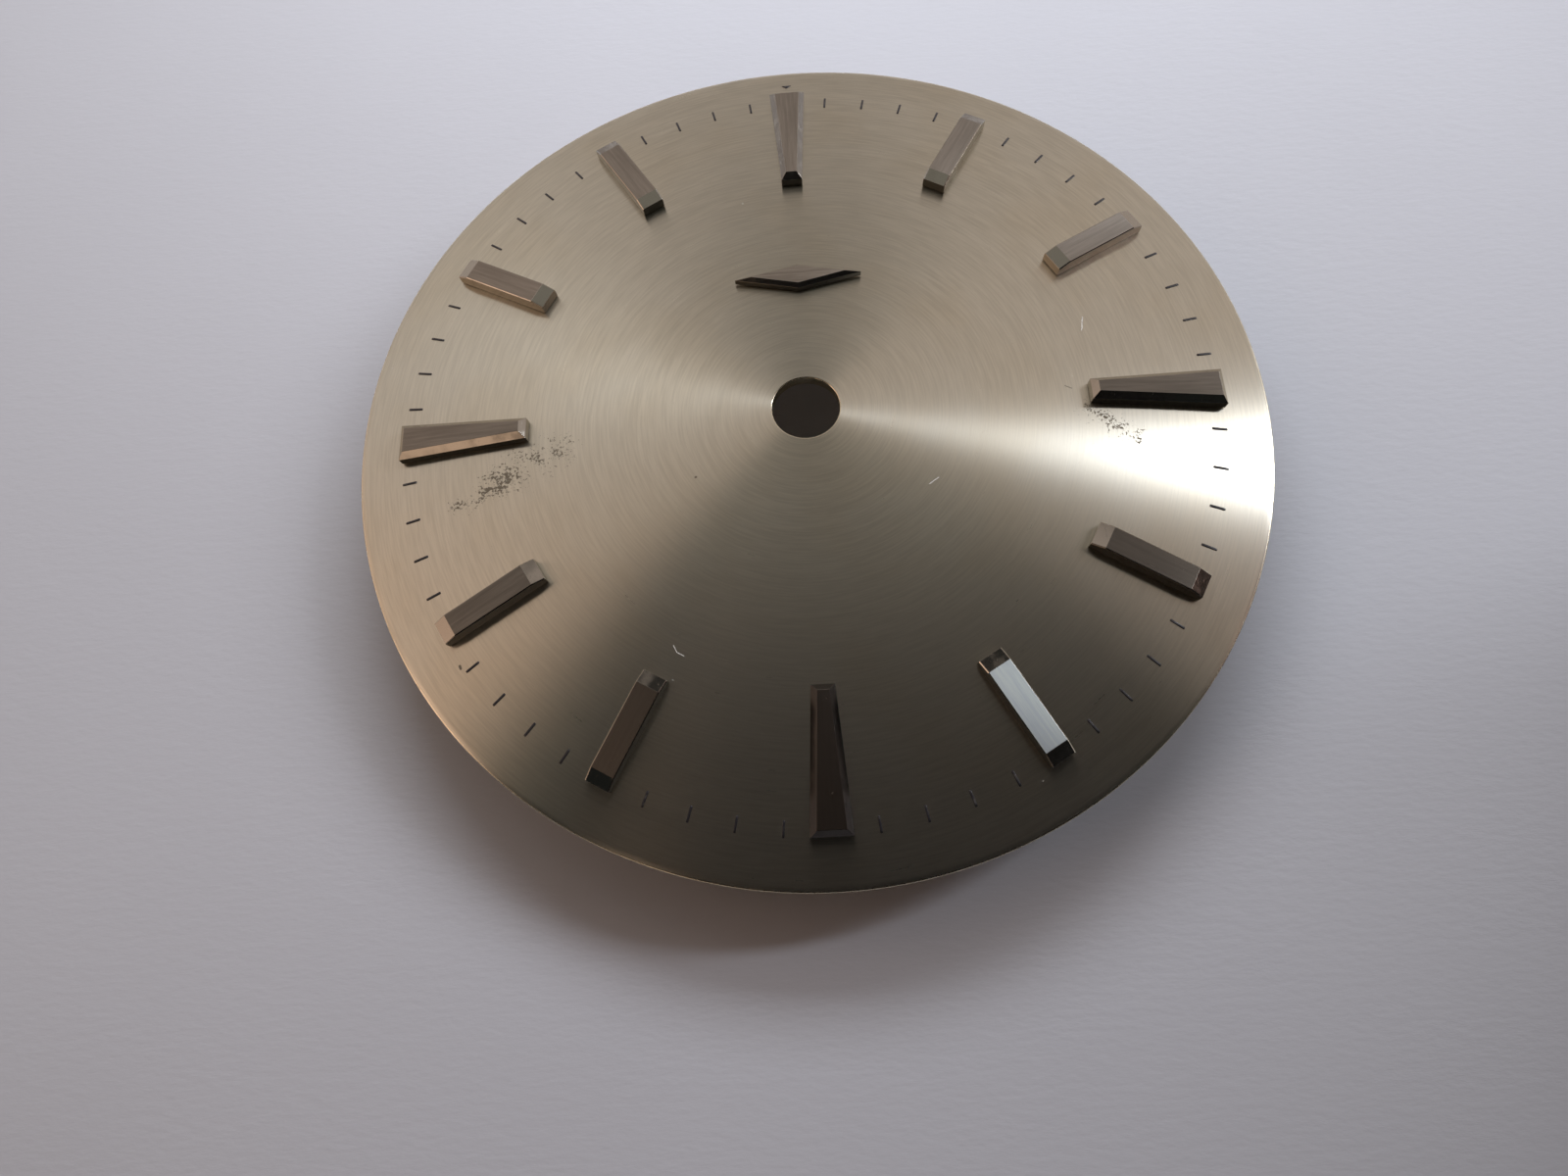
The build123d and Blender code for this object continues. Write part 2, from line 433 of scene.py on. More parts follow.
    def dust(self, place: Socket) -> Socket:
        """Pale dust grains, which are small cells' middles, and the listed scratches.

        Args:
            place: The place in millimetres.

        Returns:
            A socket that is 1 on a grain or a scratch.
        """
        cells = {"Vector": place, "Scale": self.dust_per_mm, "Randomness": 1}
        gap = place.graph.node("TexVoronoi", inputs=cells, output="Distance")
        size = place.graph.node("TexVoronoi", inputs=cells, output="Color").part("X")
        inside = size * self.dust_size - self.dust_floor - gap
        grains = inside.rise(0, self.dust_edge) * self.dust_amount
        for scratch in self.scratches:
            grains = grains.largest(scratch.near(place))
        return grains


@dataclass(frozen=True)
class LengthBrushed(Surface):
    """A marker's flat top: metal brushed along the marker."""

    colour: Colour = (0.33, 0.303, 0.262)
    shade_colour: Colour = (0.225, 0.205, 0.175)
    roughness: float = 0.34
    anisotropy: float = 0.89
    across_turn: float = 0
    lines_per_mm: float = 13
    lines_along: float = 0.5
    clouds_per_mm: float = 0.9
    dents_per_mm: float = 5
    shade_range: Point = (0.3, 0.7)
    dent_range: Point = (0.70, 0.76)
    cloud_share: float = 0.3
    line_roughness: float = 0.10
    dent_roughness: float = 0.12
    cloud_relief: float = 0.5
    dent_relief: float = 0.4
    groove_depth: float = 0.0004

    def inputs(self, graph: Graph) -> Inputs:
        """Noise stretched along the marker in colour, roughness and relief.

        Args:
            graph: The material's graph.

        Returns:
            The shader's inputs.
        """
        place = graph.local()
        stretched = place * (self.lines_along, self.lines_per_mm, 1)
        lines = graph.noise(stretched, detail=3, roughness=0.7)
        cloud = graph.noise(place, self.clouds_per_mm)
        dents = graph.noise(place, self.dents_per_mm).rise(*self.dent_range)
        shade = lines.rise(*self.shade_range) * (1 - self.cloud_share) + cloud * self.cloud_share
        relief = lines + cloud * self.cloud_relief - dents * self.dent_relief
        rough = (lines - 0.5) * self.line_roughness + dents * self.dent_roughness
        return {
            "Base Color": graph.mix(shade, self.colour, self.shade_colour),
            "Metallic": 1,
            "Roughness": self.roughness + rough,
            "Anisotropic": self.anisotropy,
            "Anisotropic Rotation": self.across_turn,
            "Normal": graph.bump(relief, self.groove_depth),
        }


@dataclass(frozen=True)
class Polished(Surface):
    """Polished metal with hairlines, faint waves and smudges."""

    colour: Colour = (0.42, 0.39, 0.335)
    shade_colour: Colour = (0.33, 0.305, 0.26)
    roughness: float = 0.10
    wave_depth: float = 0.004
    waves_per_mm: float = 0.8
    hairs_per_mm: float = 16
    hairs_along: float = 1.5
    smudges_per_mm: float = 1.9
    hair_range: Point = (0.62, 0.72)
    smudge_range: Point = (0.45, 0.75)
    smudge_shade: float = 0.6
    hair_roughness: float = 0.10
    smudge_roughness: float = 0.12
    hair_relief: float = 0.06

    def inputs(self, graph: Graph) -> Inputs:
        """Slow waves for relief, thin hairlines and smudges for roughness.

        Args:
            graph: The material's graph.

        Returns:
            The shader's inputs.
        """
        place = graph.millimetres()
        waves = graph.noise(place, self.waves_per_mm, detail=1)
        stretched = place * (self.hairs_per_mm, self.hairs_along, self.hairs_per_mm)
        hairs = graph.noise(stretched, roughness=0.7).rise(*self.hair_range)
        smudge = graph.noise(place, self.smudges_per_mm, detail=3).rise(*self.smudge_range)
        rough = hairs * self.hair_roughness + smudge * self.smudge_roughness
        return {
            "Base Color": graph.mix(smudge * self.smudge_shade, self.colour, self.shade_colour),
            "Metallic": 1,
            "Roughness": self.roughness + rough,
            "Normal": graph.bump(waves + hairs * self.hair_relief, self.wave_depth),
        }


@dataclass(frozen=True)
class TurnedMetal(Surface):
    """Turned bare metal with tool rings across its own axis and a patchy tarnish."""

    colour: Colour = (0.78, 0.42, 0.26)
    tarnish_colour: Colour = (0.34, 0.17, 0.10)
    roughness: float = 0.32
    rings_per_mm: float = 14
    ring_wander: float = 0.4
    ring_depth: float = 0.004
    tarnish_per_mm: float = 1.6
    spots_per_mm: float = 6
    tarnish_range: Point = (0.40, 0.66)
    spot_range: Point = (0.66, 0.74)
    tarnish_shade: float = 0.75
    spot_shade: float = 0.4
    spot_dullness: float = 0.5
    tarnish_roughness: float = 0.18
    ring_roughness: float = 0.2
    spot_relief: float = 0.3

    def inputs(self, graph: Graph) -> Inputs:
        """Rings along the height, tarnish patches and small spots.

        Args:
            graph: The material's graph.

        Returns:
            The shader's inputs.
        """
        place = graph.millimetres()
        stretched = place * (self.ring_wander, self.ring_wander, self.rings_per_mm)
        rings = graph.noise(stretched, roughness=0.6)
        patches = graph.noise(place, self.tarnish_per_mm, detail=4, roughness=0.6)
        tarnish_and_painted_dark = patches.rise(*self.tarnish_range)
        spots = graph.noise(place, self.spots_per_mm).rise(*self.spot_range)
        worn = (tarnish_and_painted_dark * self.tarnish_shade + spots * self.spot_shade).smallest(1)
        rough = tarnish_and_painted_dark * self.tarnish_roughness + (rings - 0.5) * self.ring_roughness
        return {
            "Base Color": graph.mix(worn, self.colour, self.tarnish_colour),
            "Metallic": 1 - spots * self.spot_dullness,
            "Roughness": self.roughness + rough,
            "Normal": graph.bump(rings + spots * self.spot_relief, self.ring_depth),
        }


@dataclass(frozen=True)
class BrazedMetal(Surface):
    """Silver braze: lumpy and frosted, with brown flux left in patches."""

    colour: Colour = (0.66, 0.62, 0.53)
    flux_colour: Colour = (0.22, 0.15, 0.09)
    roughness: float = 0.38
    lump_depth: float = 0.02
    lumps_per_mm: float = 3.2
    frost_per_mm: float = 17
    flux_per_mm: float = 2.1
    flux_range: Point = (0.50, 0.70)
    flux_shade: float = 0.8
    flux_dullness: float = 0.7
    flux_roughness: float = 0.3
    frost_roughness: float = 0.15
    frost_relief: float = 0.15

    def inputs(self, graph: Graph) -> Inputs:
        """Lumps for relief, with patches of flux that are browner and duller.

        Args:
            graph: The material's graph.

        Returns:
            The shader's inputs.
        """
        place = graph.millimetres()
        lumps = graph.noise(place, self.lumps_per_mm, detail=3, roughness=0.55)
        frost = graph.noise(place, self.frost_per_mm)
        patches = graph.noise(place, self.flux_per_mm, detail=3, roughness=0.6)
        flux = patches.rise(*self.flux_range)
        rough = flux * self.flux_roughness + (frost - 0.5) * self.frost_roughness
        return {
            "Base Color": graph.mix(flux * self.flux_shade, self.colour, self.flux_colour),
            "Metallic": 1 - flux * self.flux_dullness,
            "Roughness": self.roughness + rough,
            "Normal": graph.bump(lumps + frost * self.frost_relief, self.lump_depth),
        }


@dataclass(frozen=True)
class PrintedInk(Surface):
    """Black pad-printed lacquer: a thin film with pinholes and a slightly uneven skin."""

    colour: Colour = (0.018, 0.016, 0.018)
    worn_colour: Colour = (0.085, 0.075, 0.065)
    roughness: float = 0.42
    coat: float = 0.15
    skin_depth: float = 0.002
    wear_per_mm: float = 4.5
    pinholes_per_mm: float = 22
    ripples_per_mm: float = 12
    wear_range: Point = (0.52, 0.72)
    pinhole_range: Point = (0.70, 0.76)
    wear_shade: float = 0.6
    pinhole_shade: float = 0.3
    wear_roughness: float = 0.25
    pinhole_relief: float = 0.5

    def inputs(self, graph: Graph) -> Inputs:
        """Worn patches in the colour, pinholes and ripples in the relief.

        Args:
            graph: The material's graph.

        Returns:
            The shader's inputs.
        """
        place = graph.millimetres()
        worn = graph.noise(place, self.wear_per_mm, detail=3).rise(*self.wear_range)
        pinholes = graph.noise(place, self.pinholes_per_mm, detail=1).rise(*self.pinhole_range)
        ripples = graph.noise(place, self.ripples_per_mm)
        shade = worn * self.wear_shade + pinholes * self.pinhole_shade
        return {
            "Base Color": graph.mix(shade, self.colour, self.worn_colour),
            "Roughness": self.roughness + worn * self.wear_roughness,
            "Coat Weight": self.coat,
            "Normal": graph.bump(ripples - pinholes * self.pinhole_relief, self.skin_depth),
        }


@dataclass(frozen=True)
class Paper(Surface):
    """Plain pale paper with soft fibres and faint clouds."""

    colour: Colour = (0.58, 0.58, 0.605)
    cloud_colour: Colour = (0.545, 0.545, 0.57)
    roughness: float = 0.85
    shine: float = 0.25
    fibres_per_mm: Direction = (1.6, 4.2, 1)
    fibre_depth: float = 0.012
    clouds_per_mm: float = 0.11
    fibre_share: float = 0.3
    fibre_roughness: float = 0.1

    def inputs(self, graph: Graph) -> Inputs:
        """Fibres for relief and slow clouds for colour.

        Args:
            graph: The material's graph.

        Returns:
            The shader's inputs.
        """
        place = graph.millimetres()
        fibres = graph.noise(place * self.fibres_per_mm, detail=4, roughness=0.6)
        clouds = graph.noise(place, self.clouds_per_mm, detail=3)
        shade = clouds * (1 - self.fibre_share) + fibres * self.fibre_share
        return {
            "Base Color": graph.mix(shade, self.colour, self.cloud_colour),
            "Roughness": self.roughness + (fibres - 0.5) * self.fibre_roughness,
            "Specular IOR Level": self.shine,
            "Normal": graph.bump(fibres, self.fibre_depth),
        }


@dataclass(frozen=True)
class DarkCard(Surface):
    """Plain dull black card."""

    colour: Colour = (0.02, 0.019, 0.018)
    roughness: float = 0.9

    def inputs(self, graph: Graph) -> Inputs:
        """One colour all over."""
        return {"Base Color": self.colour, "Roughness": self.roughness}


class PlateFinish(IntEnum):
    """The plate's materials, in their order on the mesh."""

    FACE = 0
    CUT_EDGE = 1
    UNDERSIDE = 2


class MarkerFinish(IntEnum):
    """An applied piece's materials, in their order on the mesh."""

    TOP = 0
    POLISHED = 1


@dataclass
class Shell:
    """One closed surface: its points in millimetres, its faces, and each face's finish."""

    points: np.ndarray
    faces: list[np.ndarray]
    finishes: list[np.ndarray]

    def placed(self, place: np.ndarray) -> "Shell":
        """The shell moved by a 4 by 4 matrix."""
        moved = self.points @ place[:3, :3].T + place[:3, 3]
        return Shell(moved, self.faces, self.finishes)


def grid_faces(rows: int, columns: int, close_rows: bool) -> np.ndarray:
    """Quads of a grid whose rows close on themselves.

    Args:
        rows: How many rings of points there are.
        columns: How many points a ring has.
        close_rows: Whether the last ring joins the first.

    Returns:
        One row of four point numbers for each quad.
    """
    row = np.arange(rows if close_rows else rows - 1)[:, None]
    column = np.arange(columns)[None, :]
    after, beside = (row + 1) % rows, (column + 1) % columns
    corners = [row * columns + column, row * columns + beside,
               after * columns + beside, after * columns + column]
    return np.stack([np.broadcast_to(c, (row.size, columns)) for c in corners], -1).reshape(-1, 4)


def round_axis(profile: np.ndarray, steps: int) -> np.ndarray:
    """A profile carried round the Z axis: each point (r, z) becomes (r cos a, r sin a, z).

    Args:
        profile: Radius and height of each point.
        steps: How many places there are round the axis.

    Returns:
        Points, as places of the profile by places round the axis by three.
    """
    angle = np.arange(steps) / steps * CIRCLE
    radius, height = profile[:, :1], profile[:, 1:]
    rings = [radius * np.cos(angle), radius * np.sin(angle), height * np.ones((1, steps))]
    return np.stack(rings, -1)


def loft(rings: np.ndarray, finishes: np.ndarray, ends: tuple[int, int]) -> Shell:
    """A closed skin over rings of points: a quad between neighbours, and a flat cap on each end.

    Args:
        rings: Points, as rings by places by three, each ring anticlockwise seen from the last.
        finishes: The finish of each quad, as rings less one by places.
        ends: The finishes of the first and last caps.

    Returns:
        The closed shell.
    """
    rows, columns = rings.shape[:2]
    first = np.arange(columns)[::-1]
    last = (rows - 1) * columns + np.arange(columns)
    return Shell(
        rings.reshape(-1, 3),
        [grid_faces(rows, columns, False), first[None, :], last[None, :]],
        [finishes.reshape(-1), np.array(ends[:1], int), np.array(ends[1:], int)],
    )


def revolve(profile: np.ndarray, finishes: np.ndarray, steps: int) -> Shell:
    """A ring from a closed profile that is carried round the Z axis.

    Args:
        profile: Radius and height of each point, clockwise with the radius to the right.
        finishes: The finish of the band from each point to the next.
        steps: How many places there are round the axis.

    Returns:
        The closed ring, without caps.
    """
    points = round_axis(profile, steps).reshape(-1, 3)
    faces = grid_faces(len(profile), steps, True)[:, ::-1]
    return Shell(points, [faces], [np.repeat(finishes, steps)])


def turned(profile: np.ndarray, steps: int, kind: int = 0) -> Shell:
    """A turned solid from an open profile, with a flat cap on each end.

    Args:
        profile: Radius and height of each point, up the outside.
        steps: How many places there are round the axis.
        kind: The solid's finish.

    Returns:
        The closed solid.
    """
    finishes = np.full((len(profile) - 1, steps), kind, int)
    return loft(round_axis(profile, steps), finishes, (kind, kind))


def bevelled(outline: Callable[[float, float], np.ndarray], height: float, bevel: float) -> Shell:
    """A wall with a bevel all round its flat top, skinned over three outlines.

    Args:
        outline: Gives the foot's four points drawn in by an inset, at a height.
        height: Height of the flat top.
        bevel: How far the bevel reaches in and down.

    Returns:
        The closed shell, polished except for its top.
    """
    levels = [(0, 0), (0, height - bevel), (bevel, height)]
    sides = np.full((2, 4), MarkerFinish.POLISHED, int)
    ends = (MarkerFinish.POLISHED, MarkerFinish.TOP)
    return loft(np.stack([outline(*level) for level in levels]), sides, ends)


def corner(centre: Point, size: float, start: float, stop: float, steps: int = 5) -> np.ndarray:
    """A round edge: centre plus size times (cos a, sin a), for a from start to stop in degrees."""
    angle = np.radians(np.linspace(start, stop, steps))
    return np.stack([centre[0] + size * np.cos(angle), centre[1] + size * np.sin(angle)], -1)


def rounded_outline(corners: np.ndarray, cut: float, steps: int) -> np.ndarray:
    """An outline with its corners rounded.

    Each corner becomes a curve (1 - t)^2 a + 2 t (1 - t) c + t^2 b from a point a, cut before the
    corner c, to a point b, cut after it.

    Args:
        corners: The outline's corners, as places by two.
        cut: How far before and after a corner its curve starts and ends.
        steps: Points on each curve.

    Returns:
        The outline's points, as places by two.
    """
    behind = np.roll(corners, 1, 0) - corners
    ahead = np.roll(corners, -1, 0) - corners
    start = corners + behind / np.linalg.norm(behind, axis=1, keepdims=True) * cut
    stop = corners + ahead / np.linalg.norm(ahead, axis=1, keepdims=True) * cut
    t = np.linspace(0, 1, steps)[None, :, None]
    curve = (1 - t) ** 2 * start[:, None] + 2 * t * (1 - t) * corners[:, None]
    return (curve + t**2 * stop[:, None]).reshape(-1, 2)


@dataclass(frozen=True)
class Finish:
    """A piece's materials, its slot in the record, and how its arrises are rounded."""

    materials: Materials
    slot: str
    arris: float = 0
    arris_steps: int = 3


def write_piece(
    name: str,
    shells: list[Shell],
    finish: Finish,
    node: str,
    local: np.ndarray | None = None,
) -> None:
    """Makes one finished piece from closed shells, and lets it ride on the dial.

    Args:
        name: The piece's name.
        shells: Its surfaces, in millimetres, in the dial's own frame.
        finish: Its materials and arrises; the slot that it names is not used.
        node: The construction's node that it replaces.
        local: Each point's place in the piece's own directions, for its materials.
    """
    counts = np.cumsum([0] + [len(shell.points) for shell in shells])
    points = np.concatenate([shell.points for shell in shells])
    numbered = [(f + n).tolist() for shell, n in zip(shells, counts) for f in shell.faces]
    faces = [face for rows in numbered for face in rows]
    mesh = bpy.data.meshes.new(name)
    mesh.from_pydata((points * MILLIMETRE).tolist(), [], faces)
    kinds = np.concatenate([f for shell in shells for f in shell.finishes])
    mesh.polygons.foreach_set("material_index", kinds.astype(np.int32))
    mesh.polygons.foreach_set("use_smooth", np.ones(len(kinds), bool))
    if local is not None:
        held = mesh.attributes.new(LOCAL, "FLOAT_VECTOR", "POINT")
        held.data.foreach_set("vector", local.ravel())
    for material in finish.materials:
        mesh.materials.append(material)
    # Tangents, which steer the brushed metals' shine, run round the middle of this space.
    mesh.use_auto_texspace = False
    mesh.texspace_location, mesh.texspace_size = (0, 0, 0), (TANGENT_REACH * MILLIMETRE,) * 3
    mesh.update()
    piece = bpy.data.objects.new(name, mesh)
    bpy.context.scene.collection.objects.link(piece)
    if finish.arris:
        round_arrises(piece, finish)
    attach(piece, BODY)
    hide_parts(node)
    log.info("%s: %d faces, stands for %s", name, len(kinds), node)


def round_arrises(piece: bpy.types.Object, finish: Finish) -> None:
    """Rounds a piece's sharp edges by a live modifier that keeps its flat faces flat.

    Args:
        piece: The piece.
        finish: Holds the width and the steps of the rounding.
    """
    bevel = piece.modifiers.new("arrises", "BEVEL")
    bevel.width = finish.arris * MILLIMETRE
    bevel.segments = finish.arris_steps
    bevel.limit_method = "ANGLE"
    bevel.angle_limit = radians(SHARP_ANGLE)
    bevel.harden_normals = True


def millimetre_box(node: str) -> tuple[np.ndarray, np.ndarray]:
    """A node's lowest and highest corners in millimetres."""
    low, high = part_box(node)
    return np.array(low) / MILLIMETRE, np.array(high) / MILLIMETRE


def millimetre_middle(node: str) -> np.ndarray:
    """The middle of a node's box in millimetres."""
    low, high = millimetre_box(node)
    return (low + high) / 2


@dataclass
class Dome:
    """The face's shape: a shallow dome that is rolled down in a narrow band along the rim."""

    radius: float
    hole_radius: float
    thickness: float = 0.4
    crown_radius: float = 110.0
    band_width: float = 0.2
    band_radius: float = 0.6

    @classmethod
    def from_frame(cls) -> "Dome":
        """Reads the construction's own radii.

        Returns:
            The dome with those radii.
        """
        high = millimetre_box("dial_plate")[1]
        mounts = {mount["name"]: mount for mount in frame["record"]["mounts"]}
        hole = mounts["centre_hole"]["dims"]["r_mm"]
        return cls(radius=float(high[0]), hole_radius=hole)

    def crown_centre(self) -> float:
        """Height of the crown's centre, which puts the middle of the hole's wall at height 0."""
        return self.thickness / 2 - (self.crown_radius**2 - self.hole_radius**2) ** 0.5

    def band_centre(self) -> Point:
        """The centre of the band's arc, which runs on from the crown's.

        Returns:
            Its radius and height.
        """
        tilt = np.arcsin((self.radius - self.band_width) / self.crown_radius)
        back = self.crown_radius - self.band_radius
        return back * sin(tilt), self.crown_centre() + back * cos(tilt)

    def height(self, radius: np.ndarray | float, depth: float = 0) -> np.ndarray:
        """Height of the face, or of the surface at a depth below it.

        On the crown it is the centre's height plus the root of R^2 - r^2, and on the band the same
        about the band's own centre.

        Args:
            radius: Distance from the dial's axis.
            depth: How far below the face the surface lies.

        Returns:
            The height at each radius.
        """
        r = np.asarray(radius, float)
        out, up = self.band_centre()
        whole = self.crown_radius - depth
        knee = (self.radius - self.band_width) * whole / self.crown_radius
        crown = self.crown_centre() + np.sqrt(whole**2 - np.minimum(r, knee) ** 2)
        reach = (self.band_radius - depth) ** 2 - (np.maximum(r, knee) - out) ** 2
        return np.where(r <= knee, crown, up + np.sqrt(np.maximum(reach, 0)))

    def tilt(self, radius: float) -> float:
        """Slope of the face.

        Args:
            radius: Distance from the dial's axis.

        Returns:
            The slope in radians from level.
        """
        if radius <= self.radius - self.band_width:
            return float(np.arcsin(radius / self.crown_radius))
        return float(np.arcsin((radius - self.band_centre()[0]) / self.band_radius))

    def frame_at(
        self, clock_angle: float, radius: float, lift: float = 0, across: float = 0
    ) -> np.ndarray:
        """A 4 by 4 matrix that sets a piece on the face.

        Args:
            clock_angle: Degrees clockwise from 12 o'clock.
            radius: Distance of the piece's middle from the dial's axis.
            lift: How far it stands off the face.
            across: How far to the left of the clock angle's line it stands, seen from the axis.

        Returns:
            X runs outward down the slope, Z stands square to the face, and Y completes them.
        """
        angle = radians(clock_angle) + atan2(across, radius)
        reach = hypot(radius, across)
        tilt = self.tilt(reach)
        outward = np.array([sin(angle), cos(angle), 0])
        up = np.array([0, 0, 1])
        normal = outward * sin(tilt) + up * cos(tilt)
        slope = outward * cos(tilt) - up * sin(tilt)
        place = np.eye(4)
        place[:3, 0], place[:3, 1], place[:3, 2] = slope, np.cross(normal, slope), normal
        place[:3, 3] = outward * reach + up * self.height(reach) + normal * lift
        return place


@dataclass
class Plate:
    """The brushed plate, with a round rim, a round hole and a flat land under the rim."""

    dome: Dome
    rim_round: float = 0.05
    hole_round: float = 0.04
    hold: float = 0.01
    land_width: float = 0.5
    face_rings: int = 72
    band_rings: int = 8
    under_rings: int = 24
    steps: int = 384

    def profile(self) -> tuple[np.ndarray, np.ndarray]:
        """The section as (radius, height) points from the hole's upper edge outwards and back.

        Returns:
            The points, and the finish of the band after each.
        """
        dome, rim, bore = self.dome, self.rim_round, self.hole_round
        inner, outer = dome.hole_radius + bore, dome.radius - rim
        land = dome.radius - self.land_width
        seat = float(dome.height(land, dome.thickness))
        top_rim, top_bore = float(dome.height(outer)), float(dome.height(inner))
        low_bore = float(dome.height(inner, dome.thickness))
        knee = dome.radius - dome.band_width
        crown = np.linspace(inner + self.hold, knee, self.face_rings)
        band = np.linspace(knee, outer - self.hold, self.band_rings)
        face = np.concatenate([[inner], crown, band[1:]])
        under = np.linspace(land - self.hold, inner + self.hold, self.under_rings)
        runs = [
            (np.stack([face, dome.height(face)], -1), PlateFinish.FACE),
            (corner((outer, top_rim - rim), rim, 90, 0), PlateFinish.CUT_EDGE),
            (corner((outer, seat + rim), rim, 0, -90), PlateFinish.CUT_EDGE),
            (np.array([[outer - self.hold, seat], [land, seat]]), PlateFinish.UNDERSIDE),
            (np.stack([under, dome.height(under, dome.thickness)], -1), PlateFinish.UNDERSIDE),
            (corner((inner, low_bore + bore), bore, -90, -180), PlateFinish.CUT_EDGE),
            (corner((inner, top_bore - bore), bore, 180, 95), PlateFinish.CUT_EDGE),
        ]
        kinds = np.concatenate([np.full(len(points), kind, int) for points, kind in runs])
        return np.concatenate([points for points, _ in runs]), kinds

    def build(self, materials: Materials) -> None:
        """Carries the section round the dial's axis."""
        shell = revolve(*self.profile(), self.steps)
        write_piece("plate", [shell], Finish(materials, "dial_face"), "dial_plate")


@dataclass
class Rivet:
    """A pin under an applied piece, spread into a low head under the plate."""

    dome: Dome
    pin_radius: float = 0.18
    head_radius: float = 0.29
    head_height: float = 0.09
    head_round: float = 0.05
    head_break: float = 0.01
    flat_share: float = 0.35
    gap: float = 0.01
    start: float = 0.1
    steps: int = 20

    def shell(self, place: np.ndarray) -> Shell:
        """The pin from inside its marker to its head: a profile turned about the pin's axis.

        Args:
            place: The pin's place on the face, with Z along its axis.

        Returns:
            The closed pin, polished all over.
        """
        under = -self.dome.thickness - self.gap
        low = under - self.head_height
        edge = self.head_radius - self.head_round
        broken = self.head_radius - self.head_break
        profile = np.concatenate([
            [[self.flat_share * edge, low]],
            corner((edge, low + self.head_round), self.head_round, -90, 0, steps=6),
            [[self.head_radius, under - self.head_break], [broken, under]],
            [[self.pin_radius, under], [self.pin_radius, self.start]],
        ])
        return turned(profile, self.steps, MarkerFinish.POLISHED).placed(place)


@dataclass
class Applied:
    """A piece that stands on the face and is riveted under the plate by two pins."""

    dome: Dome

    lift: ClassVar[float] = 0.01
    arris: ClassVar[float] = 0.012
    along: ClassVar[list[int]] = [0, 1, 2]

    def body(self) -> Shell:
        """The piece itself, standing on Z 0."""
        raise NotImplementedError

    def place(self, side: int, lift: float = 0) -> np.ndarray:
        """The place of its middle, which is side 0, or of the pin on side -1 or 1."""
        raise NotImplementedError

    def fix(self, name: str, node: str, materials: Materials) -> None:
        """Sets the body on the face and its two pins through the plate.

        Args:
            name: The piece's name.
            node: The construction's node that it replaces.
            materials: The finishes of its top and of its polished faces.
        """
        body = self.body()
        pins = [Rivet(self.dome).shell(self.place(side)) for side in (-1, 1)]
        local = np.concatenate([body.points, *[pin.points for pin in pins]])[:, self.along]
        finish = Finish(materials, "marker", self.arris)
        write_piece(name, [body.placed(self.place(0, self.lift)), *pins], finish, node, local)


@dataclass
class Marker(Applied):
    """An applied hour marker, which lies along X before it is set on the face."""

    hour: int
    length: float
    height: float = 0.45
    rim_gap: float = 1.48
    pin_end_gap: float = 0.75

    def place(self, side: int, lift: float = 0) -> np.ndarray:
        """A place on the marker's middle line.

        Args:
            side: 0 for its middle, -1 for the pin towards the axis and 1 for the other one.
            lift: How far off the face the place is.

        Returns:
            The place's 4 by 4 matrix.
        """
        middle = self.dome.radius - self.rim_gap - self.length / 2
        step = side * (self.length / 2 - self.pin_end_gap)
        return self.dome.frame_at(self.hour * 360 / HOURS, middle + step, lift)

    def build(self, materials: Materials) -> None:
        """Fixes the marker at its hour."""
        name = f"marker_{self.hour:02d}"
        self.fix(name, f"hour_{name}", materials)


@dataclass
class BarMarker(Marker):
    """A straight bar with a slope at each end and square sides."""

    length: float = 3.58
    width: float = 0.8
    slope_length: float = 0.42
    slope_drop: float = 0.14
    edge_break: float = 0.03

    def body(self) -> Shell:
        """A six-sided section carried along four stations, lower at the two end ones.

        Returns:
            The closed bar.
        """
        half, side, cut = self.length / 2, self.width / 2, self.edge_break
        knee, low = half - self.slope_length, self.height - self.slope_drop
        stations = np.array([-half, -knee, knee, half])[:, None]
        tops = np.array([low, self.height, self.height, low])[:, None]
        across = np.array([side, side, side - cut, cut - side, -side, -side])
        foot = np.array([1, 0, 0, 0, 0, 1], bool)
        rise = np.where(foot, 0, tops - np.array([0, cut, 0, 0, cut, 0]))
        rings = np.stack(np.broadcast_arrays(stations, across, rise), -1)
        finishes = np.full((3, 6), MarkerFinish.POLISHED, int)
        finishes[1, 2] = MarkerFinish.TOP
        return loft(rings, finishes, (MarkerFinish.POLISHED, MarkerFinish.POLISHED))


@dataclass
class WedgeMarker(Marker):
    """A wedge that widens towards the rim, with a bevel all round its flat top."""

    length: float = 4.3
    outer_width: float = 1.26
    inner_width: float = 0.72
    bevel: float = 0.19

    def outline(self, inset: float, height: float) -> np.ndarray:
        """The wedge's outline.

        A slanted side moves in by the inset over the cosine of its slant, less what the shorter
        length takes off.

        Args:
            inset: How far the outline is drawn in on all sides.
            height: The height that it lies at.

        Returns:
            Its four points, anticlockwise from above.
        """
        half = self.length / 2
        slant = (self.outer_width - self.inner_width) / 2 / self.length
        along = np.array([-half + inset, half - inset])
        middle = (self.outer_width + self.inner_width) / 4
        wide = middle + along * slant - inset * hypot(1, slant)
        x = along[[0, 1, 1, 0]]
        y = np.array([-wide[0], -wide[1], wide[1], wide[0]])
        return np.stack([x, y, np.full(4, height)], -1)

    def body(self) -> Shell:
        """The wedge with its bevel."""
        return bevelled(self.outline, self.height, self.bevel)


